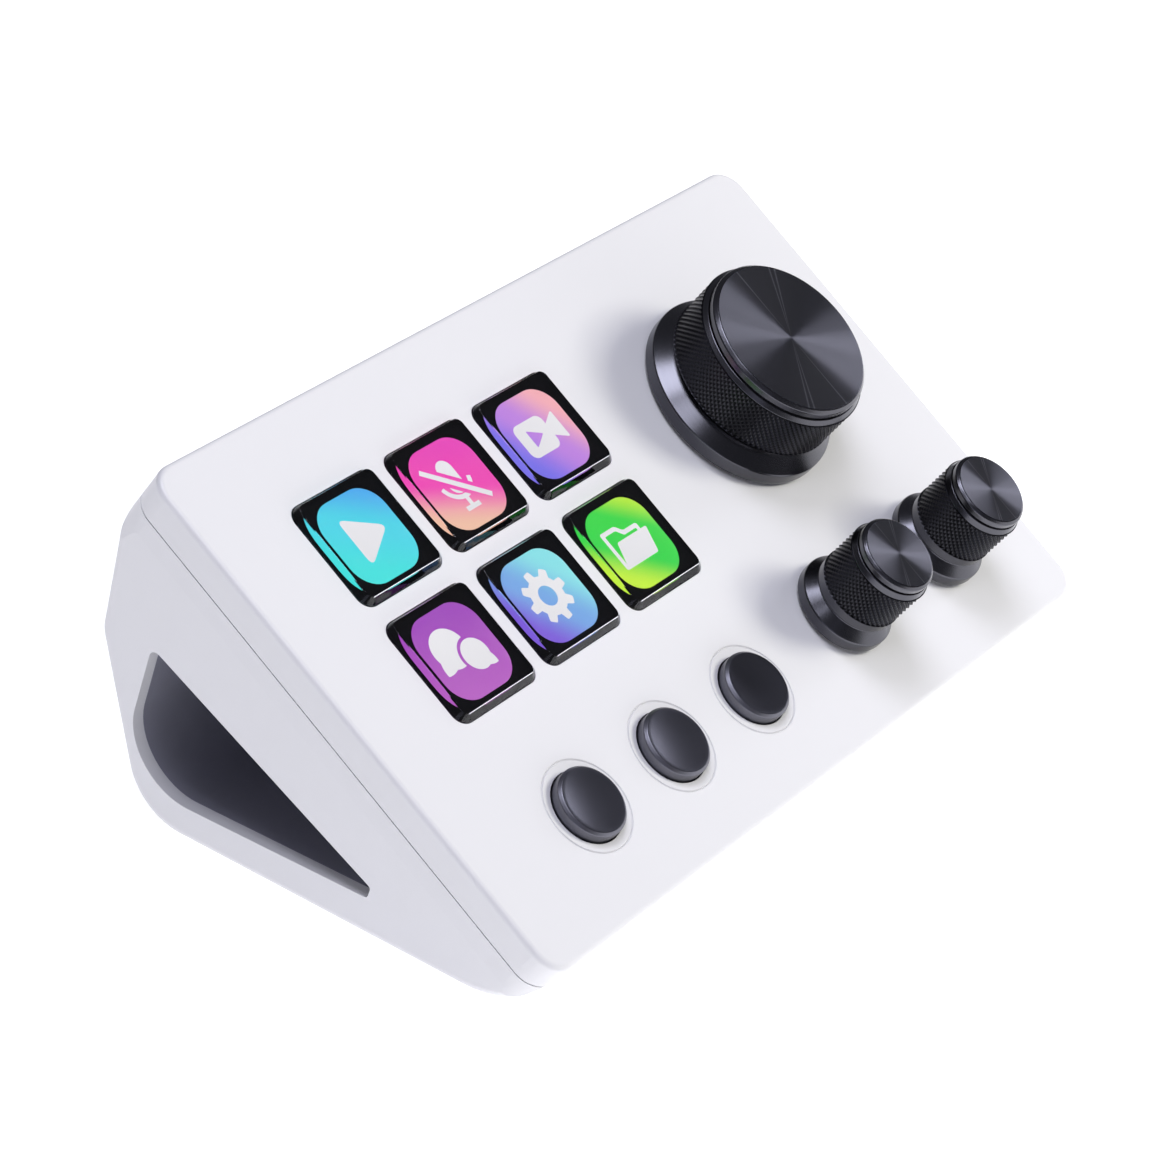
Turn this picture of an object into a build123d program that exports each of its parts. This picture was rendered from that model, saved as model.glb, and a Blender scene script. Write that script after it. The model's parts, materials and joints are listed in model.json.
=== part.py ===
from build123d import *
import os
from math import cos, radians, sin, tan

# Macro keypad: a wedge-shaped desk controller. The sloping panel carries six picture keys, three
# round buttons and three push-and-turn knobs, and a triangular hand tunnel runs through the wedge.
# Frame: X to the user's right, Y away from the user, Z up, in mm, origin under the middle.
# Pieces on the panel are drawn in the panel's own frame: u right, v up the slope, w out of the
# panel, with its origin at the panel's middle. on_panel() sets them on the slope.

# ---------------------------------------------------------------- housing
body_width = 130.2
panel_depth = 79.0
panel_tilt = 34.0
panel_corner = 4.0
panel_edge_radius = 0.8
front_height = 8.3          # front edge of the panel above the shell's underside
foot_drop = 1.0             # how far the feet reach below the shell
panel_thickness = 2.0
side_wall = 2.0
skin = 1.5                  # front, rear and bottom walls
rim_draft = 2.0             # degrees, rim faces all round, down to the crease
crease_depth = 8.1          # crease below the panel, where the lower side wall starts
lower_draft = 6.0           # degrees, side faces below the crease
rear_rim_depth = 7.6        # height of the drafted rear rim, along w
rear_bend_behind = 4.32     # the rear wall's widest line: behind the foot of the rear rim
rear_bend_drop = 19.43      # and below it
rear_foot_ahead = 1.08      # where the rear wall would meet the underside, ahead of that rim
nose_radius = 16.0
rear_bend_radius = 6.0
rear_foot_radius = 9.0
rim_corner_radius = 1.2
side_edge_radius = 1.4      # lower side walls to rear, bottom and nose

parting_depth = 5.05        # parting line below the panel
parting_gap = 0.2
lip_thickness = 1.0
lip_height = 1.5
lip_root = 2.5
lip_clearance = 0.1

# ---------------------------------------------------------------- tunnel, as (y, z) steps from
tunnel_top = (-9.0, 1.0)            # the rear bend
tunnel_rear_foot = (3.2, 4.9)       # the rear foot
tunnel_tip_low = (29.35, -2.25)     # the panel's front edge
tunnel_tip_high = (28.75, -0.4)     # the panel's front edge
tunnel_top_radius = 1.2
tunnel_foot_radius = 8.9
tunnel_tip_radius = 0.6
liner_wall = 1.2

# ---------------------------------------------------------------- fits that several pieces share
running_fit = 0.05
travel_reserve = 0.2        # left under a key, button or knob that is fully pressed
overcut = 1.0               # how far a cutting shape runs past the face that it cuts

# ---------------------------------------------------------------- keys, in the panel frame
key_pitch_u = 19.0
key_pitch_v = 18.7
key_columns = 3
key_rows = 2
key_block_inset = 42.1      # middle of the key block from the panel's left edge
key_block_front = 49.3      # and from its front edge
key_width = 17.0
key_depth = 16.6
key_corner = 2.0
key_bevel = 45.0            # degrees, the four sides of the cap above the panel
key_rise = 0.95             # top of the cap above the panel
cap_thickness = 2.0
screen_size = 14.6
screen_thickness = 0.6
screen_fit = 0.05
key_clearance = 0.2
key_flange = 0.6            # how far the tray's flange reaches under the panel, each side
key_flange_thickness = 1.0
key_flange_gap = 0.1
key_travel = 1.0
key_stem_width = 5.0
key_stem_length = 3.4
switch_width = 13.8

# ---------------------------------------------------------------- round buttons
button_front = 14.85        # the row of buttons from the panel's front edge
button_radius = 5.1
button_rim_radius = 4.65
button_rise = 1.55
button_edge = 0.35
button_dish = 0.35
button_dish_floor = 2.6     # radius of the dish's flat middle
button_clearance = 0.2
button_flange_radius = 6.2
button_flange_thickness = 1.0
button_flange_gap = 0.1
button_travel = 0.7
button_stem_radius = 1.75
button_stem_end = -6.0
actuator_radius = 1.5
actuator_length = 1.5
tact_width = 6.2
ring_radius = 6.65
ring_width = 0.3
ring_depth = 0.25
halo_depth = 0.25           # the panel dips this much from the ring groove to the button's hole

# ---------------------------------------------------------------- knobs
knobs = {
    "main": {
        "inset": 33.4, "front": 49.4,   # the knob's axis from the panel's right and front edges
        "base_radius": 14.65, "wall_top": 2.6, "neck_radius": 11.9, "neck_height": 4.5,
        "barrel_radius": 13.1, "bevel": 0.6, "knurl_bottom": 5.4,
        "collar_height": 0.7, "collar_radius": 12.45, "top_radius": 12.35, "top_edge": 0.5,
        "top_thickness": 1.6, "height": 14.6, "roof": 1.8,
    },
    "left": {
        "inset": 44.9, "front": 16.95,
        "base_radius": 7.2, "wall_top": 2.2, "neck_radius": 5.7, "neck_height": 3.6,
        "barrel_radius": 6.25, "bevel": 0.3, "knurl_bottom": 5.5,
        "collar_height": 0.9, "collar_radius": 5.8, "top_radius": 5.72, "top_edge": 0.4,
        "top_thickness": 1.4, "height": 14.2, "roof": 1.8,
    },
}
right_knob_inset = 20.3
knobs["right"] = dict(knobs["left"], inset=right_knob_inset)
knob_gap = 0.6              # knob above the panel, at rest
knob_travel = 0.4
knurl_height = 0.1
top_spigot_radius = 3.0
top_spigot_height = 0.8
hub_radius = 4.2
hub_bottom = 2.3
shaft_radius = 3.0
shaft_flat = 2.1            # from the axis to the flat of the D
shaft_headroom = 0.7        # over the shaft, under the knob's roof
hub_fit = 0.02
bushing_radius = 3.5
bushing_top = 1.6
bushing_hole_clearance = 0.2
case_width = 12.0
case_height = 5.2
case_floor = 0.7
case_roof = 0.9
case_cavity_radius = 5.0
rotor_radius = 4.7
rotor_thickness = 1.2
rotor_gap = 0.1

# ---------------------------------------------------------------- boards, screws, feet, socket
board_top = -8.6
board_thickness = 1.6
boss_inset = 11.1           # screw bosses from the panel's side edges
boss_front = (27.5, 59.5)   # and from its front edge
boss_radius = 2.4
board_margin = 3.0          # board beyond the screws at the sides
board_front = 8.5           # board from the panel's front edge
board_rear_margin = 5.0     # board behind the rear screws
board_notch = (5.0, 11.0)
screw_radius = 1.1
screw_head_radius = 2.1
screw_head_height = 1.3
screw_bite = 4.0
screw_end_gap = 0.2
hole_clearance = 0.15
thread_fit = 0.05
column_inset = 6.6          # screw columns from the panel's side edges
column_front = 15.75        # and behind its front edge
column_radius = 2.6
column_top = 9.0
screw_recess = 1.6
foot_radius = 5.0
foot_recess = 0.6
foot_edge = 0.3
foot_inset = 15.1           # feet from the panel's side edges
foot_front = 20.75          # front feet behind the panel's front edge
foot_rear = 12.7            # rear feet ahead of the rear wall's foot
socket_width = 8.94
socket_height = 3.26
socket_length = 7.35
socket_wall = 0.3
socket_floor = 1.1
socket_tongue = (6.69, 6.5, 0.7)
socket_drop = 12.5          # the socket's middle below the foot of the rear rim
socket_setback = 0.7        # the socket's mouth inside the rear wall's outer face
socket_clearance = 0.3
usb_board_size = (16.0, 12.0, 1.0)
usb_board_overhang = 1.6
shelf_width = 18.0
shelf_depth = 7.0
shelf_thickness = 2.0
shelf_overlap = 0.1         # how far the shelf runs past the socket's mouth, into the rear wall

# ---------------------------------------------------------------- the two frames
tilt = radians(panel_tilt)
half_width = body_width / 2
half_depth = panel_depth / 2
panel_height = foot_drop + front_height + half_depth * sin(tilt)
panel_plane = Plane(origin=(0, 0, panel_height), x_dir=(1, 0, 0), z_dir=(0, -sin(tilt), cos(tilt)))


def on_panel(shape, u=0.0, v=0.0, w=0.0):
    """Set a shape drawn in the panel frame on the slope, at (u, v, w)."""
    return panel_plane.location * Pos(u, v, w) * shape


def slope_point(v, w):
    """(y, z) of a place in the panel frame."""
    return v * cos(tilt) - w * sin(tilt), panel_height + v * sin(tilt) + w * cos(tilt)


def disc(radius, low, high):
    """Cylinder about the Z axis from one height to another."""
    return Pos(0, 0, low) * Cylinder(radius, high - low, align=(Align.CENTER, Align.CENTER, Align.MIN))


def plate(width, depth, corner, low, high):
    """Rounded rectangular plate about the Z axis from one height to another."""
    return Pos(0, 0, low) * extrude(RectangleRounded(width, depth, corner), amount=high - low)


def block(width, depth, low, high):
    """Square-cornered block about the Z axis from one height to another."""
    return Pos(0, 0, low) * Box(width, depth, high - low, align=(Align.CENTER, Align.CENTER, Align.MIN))


def turned(points):
    """Solid of revolution about the Z axis through (radius, height) points."""
    return revolve(make_face(Plane.XZ * Polyline(*points, close=True)), axis=Axis.Z)


# ---------------------------------------------------------------- housing shapes
def rounded_outline(points, radii):
    """Face through the points, with the corners that have a radius rounded."""
    face = make_face(Polyline(*points, close=True))
    for point, radius in zip(points, radii):
        if radius:
            face = fillet(face.vertices().sort_by_distance(point)[0], radius)
    return face


rim_in = tan(radians(rim_draft))
front_edge = slope_point(-half_depth, 0)
rear_edge = slope_point(half_depth, 0)
rear_rim = slope_point(half_depth - rear_rim_depth * rim_in, -rear_rim_depth)
rear_bend = (rear_rim[0] + rear_bend_behind, rear_rim[1] - rear_bend_drop)
rear_foot = (rear_rim[0] - rear_foot_ahead, foot_drop)


def side_profile():
    """Side view of the wedge as a face in (y, z)."""
    drop = front_height / (cos(tilt) - rim_in * sin(tilt))
    nose = slope_point(-half_depth + drop * rim_in, -drop)
    points = [front_edge, nose, rear_foot, rear_bend, rear_rim, rear_edge]
    radii = [0, nose_radius, rear_foot_radius, rear_bend_radius, rim_corner_radius, 0]
    return rounded_outline(points, radii)


def wedge(side_inset=0.0, skin_inset=0.0):
    """The whole wedge, drawn in by one distance at its sides and another all round its profile."""
    profile = side_profile()
    if skin_inset:
        profile = offset(profile, -skin_inset)
    bar = extrude(Plane.YZ * profile, amount=body_width, both=True)
    side = half_width - side_inset
    crease = side - crease_depth * rim_in
    lean = tan(radians(lower_draft))
    wide = crease + 2 * crease_depth * lean
    narrow = crease - (panel_depth - crease_depth) * lean
    ends = Polyline((wide, crease_depth), (narrow, -panel_depth), (-narrow, -panel_depth),
                    (-wide, crease_depth), close=True)
    slab = panel_plane.location * extrude(Plane.XZ * make_face(ends), amount=panel_depth, both=True)
    body = (bar & slab).solid()
    edge_radius = side_edge_radius - skin_inset
    if edge_radius > 0:
        body = body.fillet(edge_radius, lower_side_edges(body))
    corner = max(panel_corner - side_inset, 0.5)
    plan = extrude(RectangleRounded(2 * side, panel_depth, corner), amount=rear_edge[1],
                   dir=(0, 0, -1), taper=rim_draft).solid()
    if edge_radius > 0:
        plan = plan.fillet(panel_edge_radius, plan.edges().group_by(Axis.Z)[-1])
    return (body & on_panel(plan)).solid()


def lower_side_edges(body):
    """Edges round the two leaning sides of the wedge, without the panel's own."""
    found = []
    for edge in body.edges():
        ends = [panel_plane.to_local_coords(Vector(*vertex)) for vertex in edge.vertices()]
        along_side = abs(ends[0].X - ends[1].X) < body_width / 4
        if along_side and not all(abs(end.Z) < panel_edge_radius for end in ends):
            found.append(edge)
    return found


def above(shape, w):
    """The part of a shape that lies above a height in the panel frame."""
    return split(shape, bisect_by=panel_plane.offset(w), keep=Keep.TOP)


def below(shape, w):
    """The part of a shape that lies below a height in the panel frame."""
    return split(shape, bisect_by=panel_plane.offset(w), keep=Keep.BOTTOM)


def tunnel_bar(growth=0.0):
    """The tunnel's space as a bar along X, or that space grown by a wall."""
    steps = [(rear_bend, tunnel_top), (rear_foot, tunnel_rear_foot), (front_edge, tunnel_tip_low),
             (front_edge, tunnel_tip_high)]
    points = [(start[0] + step[0], start[1] + step[1]) for start, step in steps]
    radii = [tunnel_top_radius, tunnel_foot_radius, tunnel_tip_radius, tunnel_tip_radius]
    outline = rounded_outline(points, radii)
    if growth:
        outline = offset(outline, growth)
    return extrude(Plane.YZ * outline, amount=body_width, both=True)


outer = wedge()
cavity = below(wedge(side_wall, skin), -panel_thickness)
key_block_u = key_block_inset - half_width
key_block_v = key_block_front - half_depth
button_v = button_front - half_depth
key_places = [
    (key_block_u + (column - (key_columns - 1) / 2) * key_pitch_u,
     key_block_v + ((key_rows - 1) / 2 - row) * key_pitch_v)
    for row in range(key_rows)
    for column in range(key_columns)
]
button_places = {
    name: key_block_u + step * key_pitch_u
    for name, step in (("left", -1), ("middle", 0), ("right", 1))
}
knob_places = {
    name: (half_width - knob["inset"], knob["front"] - half_depth) for name, knob in knobs.items()
}
boss_places = [
    (side * (half_width - boss_inset), front - half_depth) for side in (-1, 1) for front in boss_front
]
column_places = [
    (side * (half_width - column_inset), front_edge[0] + column_front) for side in (-1, 1)
]
foot_places = [
    (side * (half_width - foot_inset), y)
    for side in (-1, 1)
    for y in (front_edge[0] + foot_front, rear_foot[0] - foot_rear)
]


# ---------------------------------------------------------------- housing pieces
def button_opening():
    """Hole for a round button, with the shallow halo and the fine ring groove round it."""
    hole_radius = button_radius + button_clearance
    groove_outer = ring_radius + ring_width / 2
    return turned([
        (0, -panel_thickness - overcut), (hole_radius, -panel_thickness - overcut),
        (hole_radius, -halo_depth), (ring_radius - ring_width / 2, 0), (ring_radius, -ring_depth),
        (groove_outer, 0), (groove_outer, overcut), (0, overcut),
    ])


def top_cover():
    """The sloping panel with its rim, windows, holes and the bosses under it."""
    cover = above(outer, -parting_depth + parting_gap / 2) - cavity
    for x, y in column_places:
        boss = Pos(x, y, 0) * disc(column_radius, column_top, panel_height)
        cover += below(boss & outer, -panel_thickness / 2)
    for u, v in boss_places:
        cover += on_panel(disc(boss_radius, board_top, -panel_thickness / 2), u, v)
        cover -= on_panel(disc(screw_radius + thread_fit, board_top - overcut,
                               board_top + screw_bite + screw_end_gap), u, v)
    for x, y in column_places:
        cover -= Pos(x, y, 0) * disc(screw_radius + thread_fit, column_top - overcut,
                                     column_top + screw_bite + screw_end_gap)
    window_corner = key_corner + key_clearance
    for u, v in key_places:
        cover -= on_panel(plate(key_width + 2 * key_clearance, key_depth + 2 * key_clearance,
                                window_corner, -panel_thickness - overcut, overcut), u, v)
    for u in button_places.values():
        cover -= on_panel(button_opening(), u, button_v)
    for u, v in knob_places.values():
        cover -= on_panel(disc(bushing_radius + bushing_hole_clearance, -panel_thickness - overcut,
                               overcut), u, v)
    return cover


def joint_lip():
    """Tongue inside the parting line: rooted in the base shell, standing inside the cover."""
    inner = wedge(side_wall + lip_thickness, skin + lip_thickness)
    root = below(wedge(side_wall / 2, skin / 2), -parting_depth - parting_gap / 2)
    tongue = below(wedge(side_wall + lip_clearance, skin + lip_clearance), -parting_depth + lip_height)
    return above((root + tongue) - inner, -parting_depth - lip_root)


def rear_wall_y(z):
    """Where the rear wall's outer face is at a height between its bend and its rim."""
    return rear_bend[0] + (rear_rim[0] - rear_bend[0]) * (z - rear_bend[1]) / (rear_rim[1] - rear_bend[1])


socket_z = rear_rim[1] - socket_drop
socket_mouth = rear_wall_y(socket_z) - socket_setback
usb_board_top = socket_z - socket_height / 2


def slot_bar(width, height, front, rear):
    """Rounded slot shape at the socket's height, from one Y to another."""
    slot = Plane.XZ * SlotOverall(width, height)
    return Pos(0, rear, socket_z) * extrude(slot, amount=rear - front)


def base_shell():
    """Lower housing: tunnel openings, joint lip, screw columns, socket shelf and foot recesses."""
    shell = below(outer, -parting_depth - parting_gap / 2) - cavity + joint_lip()
    shelf_top = usb_board_top - usb_board_size[2]
    shelf_rear = socket_mouth + shelf_overlap
    shelf = Pos(0, shelf_rear - shelf_depth / 2, shelf_top - shelf_thickness / 2) * Box(
        shelf_width, shelf_depth, shelf_thickness)
    shell += shelf & outer
    for x, y in column_places:
        shell += Pos(x, y, 0) * disc(column_radius, foot_drop + skin / 2, column_top)
    for x, y in column_places:
        shell -= Pos(x, y, 0) * disc(screw_radius + hole_clearance, 0, column_top + overcut)
        shell -= Pos(x, y, 0) * disc(screw_head_radius + hole_clearance, 0, foot_drop + screw_recess)
    for x, y in foot_places:
        shell -= Pos(x, y, 0) * disc(foot_radius, 0, foot_drop + foot_recess)
    shell -= slot_bar(socket_width + 2 * socket_clearance, socket_height + 2 * socket_clearance,
                      socket_mouth - socket_length / 2, socket_mouth + socket_length)
    return shell - tunnel_bar()


def tunnel_liner():
    """Dark tube that lines the tunnel from one side wall to the other."""
    return (tunnel_bar(liner_wall) & cavity) - tunnel_bar()


def feet():
    """Four rubber feet, let into the underside."""
    foot = disc(foot_radius, 0, foot_drop + foot_recess)
    foot = chamfer(foot.edges().group_by(Axis.Z)[0], foot_edge)
    return Compound(children=[Pos(x, y, 0) * foot for x, y in foot_places])


def screw(grip):
    """Pan-head screw: the head's seat is at 0, and the shank reaches up by the grip."""
    head = disc(screw_head_radius, -screw_head_height, 0)
    return head + disc(screw_radius, -screw_head_height / 2, grip)


# ---------------------------------------------------------------- keys
key_cap_bottom = key_rise - cap_thickness
tray_bottom = -panel_thickness - key_flange_gap - key_flange_thickness
key_stem_bottom = tray_bottom - key_stem_length


def key_cap():
    """Clear cap: straight below the panel's face, bevelled on all four sides above it."""
    foot = RectangleRounded(key_width, key_depth, key_corner)
    straight = Pos(0, 0, key_cap_bottom) * extrude(foot, amount=-key_cap_bottom)
    return straight + extrude(foot, amount=key_rise, taper=key_bevel)


def key_screen():
    """Picture screen bonded under the cap."""
    return block(screen_size, screen_size, key_cap_bottom - screen_thickness, key_cap_bottom)


def key_tray():
    """Plunger under the cap: a pocket for the screen, a flange under the panel and a stem."""
    outline = Rectangle(key_width, key_depth)
    outline = chamfer(outline.vertices(), key_corner)
    body = Pos(0, 0, tray_bottom) * extrude(outline, amount=key_cap_bottom - tray_bottom)
    flange = block(key_width + 2 * key_flange, key_depth + 2 * key_flange, tray_bottom,
                   tray_bottom + key_flange_thickness)
    stem = block(key_stem_width, key_stem_width, key_stem_bottom, tray_bottom)
    pocket = block(screen_size + 2 * screen_fit, screen_size + 2 * screen_fit,
                   key_cap_bottom - screen_thickness, key_cap_bottom + overcut)
    return body + flange + stem - pocket


def key_switch():
    """Low square switch with a square well for the key's stem."""
    top = tray_bottom - key_travel - travel_reserve
    well_width = key_stem_width + 2 * running_fit
    well = block(well_width, well_width, key_stem_bottom - key_travel - travel_reserve, top + overcut)
    return block(switch_width, switch_width, board_top, top) - well


# ---------------------------------------------------------------- round buttons
button_flange_bottom = -panel_thickness - button_flange_gap - button_flange_thickness


def button_cap():
    """Round button with a dished top, a bevelled rim, a retaining flange and a stem."""
    flange_top = button_flange_bottom + button_flange_thickness
    return turned([
        (0, button_stem_end), (button_stem_radius, button_stem_end),
        (button_stem_radius, button_flange_bottom), (button_flange_radius, button_flange_bottom),
        (button_flange_radius, flange_top), (button_radius, flange_top),
        (button_radius, button_rise - button_edge), (button_rim_radius, button_rise),
        (button_dish_floor, button_rise - button_dish), (0, button_rise - button_dish),
    ])


def button_actuator():
    """Plunger of the tact switch, carried by the button's stem."""
    return disc(actuator_radius, button_stem_end - actuator_length, button_stem_end)


def button_switch():
    """Tact switch with a bore for its plunger."""
    top = button_stem_end - button_travel - travel_reserve
    floor = button_stem_end - actuator_length - button_travel - travel_reserve
    bore = disc(actuator_radius + running_fit, floor, top + overcut)
    return block(tact_width, tact_width, board_top, top) - bore


# ---------------------------------------------------------------- knobs and encoders
case_top = board_top + case_height
shaft_bottom = board_top + case_floor + knob_travel + travel_reserve


def collar_top(knob):
    """Height of the collar, which the top disc sits on."""
    return knob["height"] - knob["top_thickness"]


def shaft_top(knob):
    """Height of the shaft's end inside the knob."""
    return collar_top(knob) - knob["roof"] - shaft_headroom


def d_section(fit=0.0):
    """Section of the D-cut shaft, grown by a fit."""
    flat = shaft_flat + fit
    return Circle(shaft_radius + fit) - Pos(flat + shaft_radius, 0) * Rectangle(
        2 * shaft_radius, 3 * shaft_radius)


def d_bar(low, high, fit=0.0):
    """The D section between two heights."""
    return Pos(0, 0, low) * extrude(d_section(fit), amount=high - low)


def knob_shell(knob):
    """Turned knob: flange, cone, barrel with its raised knurl band, collar bevel and hub bore."""
    seat = collar_top(knob)
    roof_bottom = seat - knob["roof"]
    smooth_radius = knob["barrel_radius"] - knurl_height
    shell = turned([
        (0, knob_gap), (knob["base_radius"], knob_gap), (knob["base_radius"], knob["wall_top"]),
        (knob["neck_radius"], knob["neck_height"]),
        (smooth_radius - knob["bevel"], knob["neck_height"]),
        (smooth_radius, knob["neck_height"] + knob["bevel"]), (smooth_radius, knob["knurl_bottom"]),
        (knob["barrel_radius"], knob["knurl_bottom"]),
        (knob["barrel_radius"], seat - knob["collar_height"]), (knob["collar_radius"], seat),
        (0, seat),
    ])
    shell -= disc(hub_radius, knob_gap - overcut, roof_bottom)
    return shell - disc(top_spigot_radius, seat - top_spigot_height, seat + overcut)


def knob_top(knob):
    """Spun top disc with a spigot below and a bevelled edge."""
    seat = collar_top(knob)
    return turned([
        (0, seat - top_spigot_height), (top_spigot_radius, seat - top_spigot_height),
        (top_spigot_radius, seat), (knob["top_radius"], seat),
        (knob["top_radius"], knob["height"] - knob["top_edge"]),
        (knob["top_radius"] - knob["top_edge"], knob["height"]), (0, knob["height"]),
    ])


def knob_hub(knob):
    """Plastic insert between the knob's bore and the D-cut shaft."""
    hub = disc(hub_radius, hub_bottom, collar_top(knob) - knob["roof"])
    return hub - d_bar(0, shaft_top(knob) + hub_fit, hub_fit)


def encoder_case():
    """Encoder housing on the board, with the cavity its rotor turns in."""
    body = block(case_width, case_width, board_top, case_top)
    body -= disc(case_cavity_radius, board_top + case_floor, case_top - case_roof)
    return body - disc(shaft_radius + running_fit, case_top - 2 * case_roof, case_top + overcut)


def encoder_bushing():
    """Metal bushing that carries the shaft through the panel."""
    bore = disc(shaft_radius + running_fit, case_top - overcut, bushing_top + overcut)
    return disc(bushing_radius, case_top, bushing_top) - bore


def encoder_rotor():
    """Contact disc turned by the D-cut shaft, which slides through it."""
    top = case_top - case_roof - rotor_gap
    return disc(rotor_radius, top - rotor_thickness, top) - d_bar(board_top, 0, running_fit)


# ---------------------------------------------------------------- boards and socket
def main_board():
    """Circuit board under the panel, notched at the front for the housing's screw columns."""
    front = board_front - half_depth
    depth = boss_front[-1] + board_rear_margin - board_front
    board_side = half_width - boss_inset + board_margin
    board = Pos(0, front + depth / 2, 0) * block(2 * board_side, depth, board_top - board_thickness,
                                                 board_top)
    low, high = board_top - board_thickness - overcut, board_top + overcut
    notch_width, notch_depth = board_notch
    for side in (-1, 1):
        board -= Pos(side * board_side, front, 0) * block(2 * notch_width, 2 * notch_depth, low, high)
    for u, v in boss_places:
        board -= Pos(u, v, 0) * disc(screw_radius + hole_clearance, low, high)
    return board


def usb_board():
    """Small board under the socket."""
    width, depth, thickness = usb_board_size
    rear = socket_mouth - usb_board_overhang
    return Pos(0, rear - depth / 2, usb_board_top - thickness / 2) * Box(width, depth, thickness)


def usb_socket():
    """Rear socket: rounded steel sleeve, closed at the back, with its contact tongue."""
    front = socket_mouth - socket_length
    sleeve = slot_bar(socket_width, socket_height, front, socket_mouth)
    sleeve -= slot_bar(socket_width - 2 * socket_wall, socket_height - 2 * socket_wall,
                       front + socket_floor, socket_mouth + overcut)
    width, length, thickness = socket_tongue
    tongue = Pos(0, front + length / 2, socket_z) * Box(width, length, thickness)
    return sleeve + tongue


# ---------------------------------------------------------------- all pieces
pieces = {
    "top_cover": top_cover(),
    "base_shell": base_shell(),
    "tunnel_liner": tunnel_liner(),
    "feet": feet(),
    "main_board": on_panel(main_board()),
    "usb_board": usb_board(),
    "usb_socket": usb_socket(),
    "key_switches": Compound(children=[on_panel(key_switch(), u, v) for u, v in key_places]),
    "button_switches": Compound(
        children=[on_panel(button_switch(), u, button_v) for u in button_places.values()]),
    "board_screws": Compound(children=[
        on_panel(screw(board_thickness + screw_bite), u, v, board_top - board_thickness)
        for u, v in boss_places]),
    "base_screws": Compound(children=[
        Pos(x, y, foot_drop + screw_recess) * screw(column_top + screw_bite - foot_drop - screw_recess)
        for x, y in column_places]),
}
for number, (u, v) in enumerate(key_places, start=1):
    pieces[f"key_cap_{number}"] = on_panel(key_cap(), u, v)
    pieces[f"key_screen_{number}"] = on_panel(key_screen(), u, v)
    pieces[f"key_tray_{number}"] = on_panel(key_tray(), u, v)
for name, u in button_places.items():
    pieces[f"button_cap_{name}"] = on_panel(button_cap(), u, button_v)
    pieces[f"button_actuator_{name}"] = on_panel(button_actuator(), u, button_v)
for name, knob in knobs.items():
    makers = {
        "knob_shell": knob_shell(knob),
        "knob_top": knob_top(knob),
        "knob_hub": knob_hub(knob),
        "encoder_shaft": d_bar(shaft_bottom, shaft_top(knob)),
        "encoder_rotor": encoder_rotor(),
        "encoder_case": encoder_case(),
        "encoder_bushing": encoder_bushing(),
    }
    for kind, shape in makers.items():
        pieces[f"{kind}_{name}"] = on_panel(shape, *knob_places[name])

# The origin is under the middle of the whole body, so every piece shifts by the same amount.
housing_box = Compound(children=[pieces["top_cover"], pieces["base_shell"]]).bounding_box()
origin_shift = -(housing_box.min.Y + housing_box.max.Y) / 2
os.makedirs("parts", exist_ok=True)
for name, shape in pieces.items():
    solids = (Pos(0, origin_shift, 0) * shape).solids()
    export_step(solids[0] if len(solids) == 1 else Compound(children=solids), f"parts/{name}.step")
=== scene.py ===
# %% [markdown]
# # A macro keypad with knobs
# The object is a small desk controller: a white wedge with a sloping panel. On the panel sit six
# keys with a picture screen under clear plastic, three round buttons and three turned aluminium
# knobs. A triangular hand tunnel runs through the wedge from side to side.
# The housing, its fits and its joints come from the CAD frame. This lesson adds the studio, the
# finishes, and the pieces whose fine detail a CAD solid leaves out.

# %% Load the fixed frame
import json

import bpy
import numpy as np
from mathutils import Matrix, Vector


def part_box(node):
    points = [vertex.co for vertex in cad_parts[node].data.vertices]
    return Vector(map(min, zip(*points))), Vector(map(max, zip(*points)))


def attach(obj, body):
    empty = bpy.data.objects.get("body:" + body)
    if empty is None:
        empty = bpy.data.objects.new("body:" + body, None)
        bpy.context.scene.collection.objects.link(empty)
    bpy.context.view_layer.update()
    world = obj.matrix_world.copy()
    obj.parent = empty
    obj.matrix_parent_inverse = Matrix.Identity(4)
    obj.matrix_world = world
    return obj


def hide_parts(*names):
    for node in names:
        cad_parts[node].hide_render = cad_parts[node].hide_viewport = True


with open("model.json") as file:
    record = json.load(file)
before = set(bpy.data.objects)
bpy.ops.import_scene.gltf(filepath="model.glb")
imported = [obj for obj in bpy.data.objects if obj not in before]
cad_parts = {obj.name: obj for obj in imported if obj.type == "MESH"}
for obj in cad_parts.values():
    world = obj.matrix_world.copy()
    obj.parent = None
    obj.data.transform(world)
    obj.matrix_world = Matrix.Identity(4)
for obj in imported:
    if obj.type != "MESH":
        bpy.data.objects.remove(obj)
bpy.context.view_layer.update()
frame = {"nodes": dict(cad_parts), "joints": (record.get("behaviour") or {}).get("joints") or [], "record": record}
nodes = frame["nodes"]
print("CAD nodes:", len(nodes))

# %% [markdown]
# ## The panel's own frame
# Everything that a hand touches stands square to the sloping panel, so the pieces are drawn in the
# panel's frame, in millimetres: u to the user's right, v up the slope, w straight out of the panel.
# The slope needs no number typed here. Each key slides straight into the panel, so the key joint's
# axis, turned round, is the direction w, and v follows from it.

# %% Directions of the panel
MM = 0.001
joint_axes = {joint["name"]: Vector(joint["axis"]) for joint in frame["joints"]}
U = Vector((1, 0, 0))
W = -joint_axes["key_1_press"].normalized()
V = W.cross(U)
PANEL_AXES = np.array([U, V, W])
print("panel slope in degrees:", round(float(np.degrees(np.arccos(W.z))), 2))


# %% Homes: where on the panel a piece is drawn
def middle(node):
    """Centre of a CAD node's box, in metres. For a plate or a straight tube it is its own centre."""
    low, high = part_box(node)
    return (low + high) / 2


def on_panel(points, home):
    """Panel-frame points in mm, turned and moved to a home in metres: home + u U + v V + w W."""
    return np.array(home) + MM * np.asarray(points, float) @ PANEL_AXES


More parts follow.
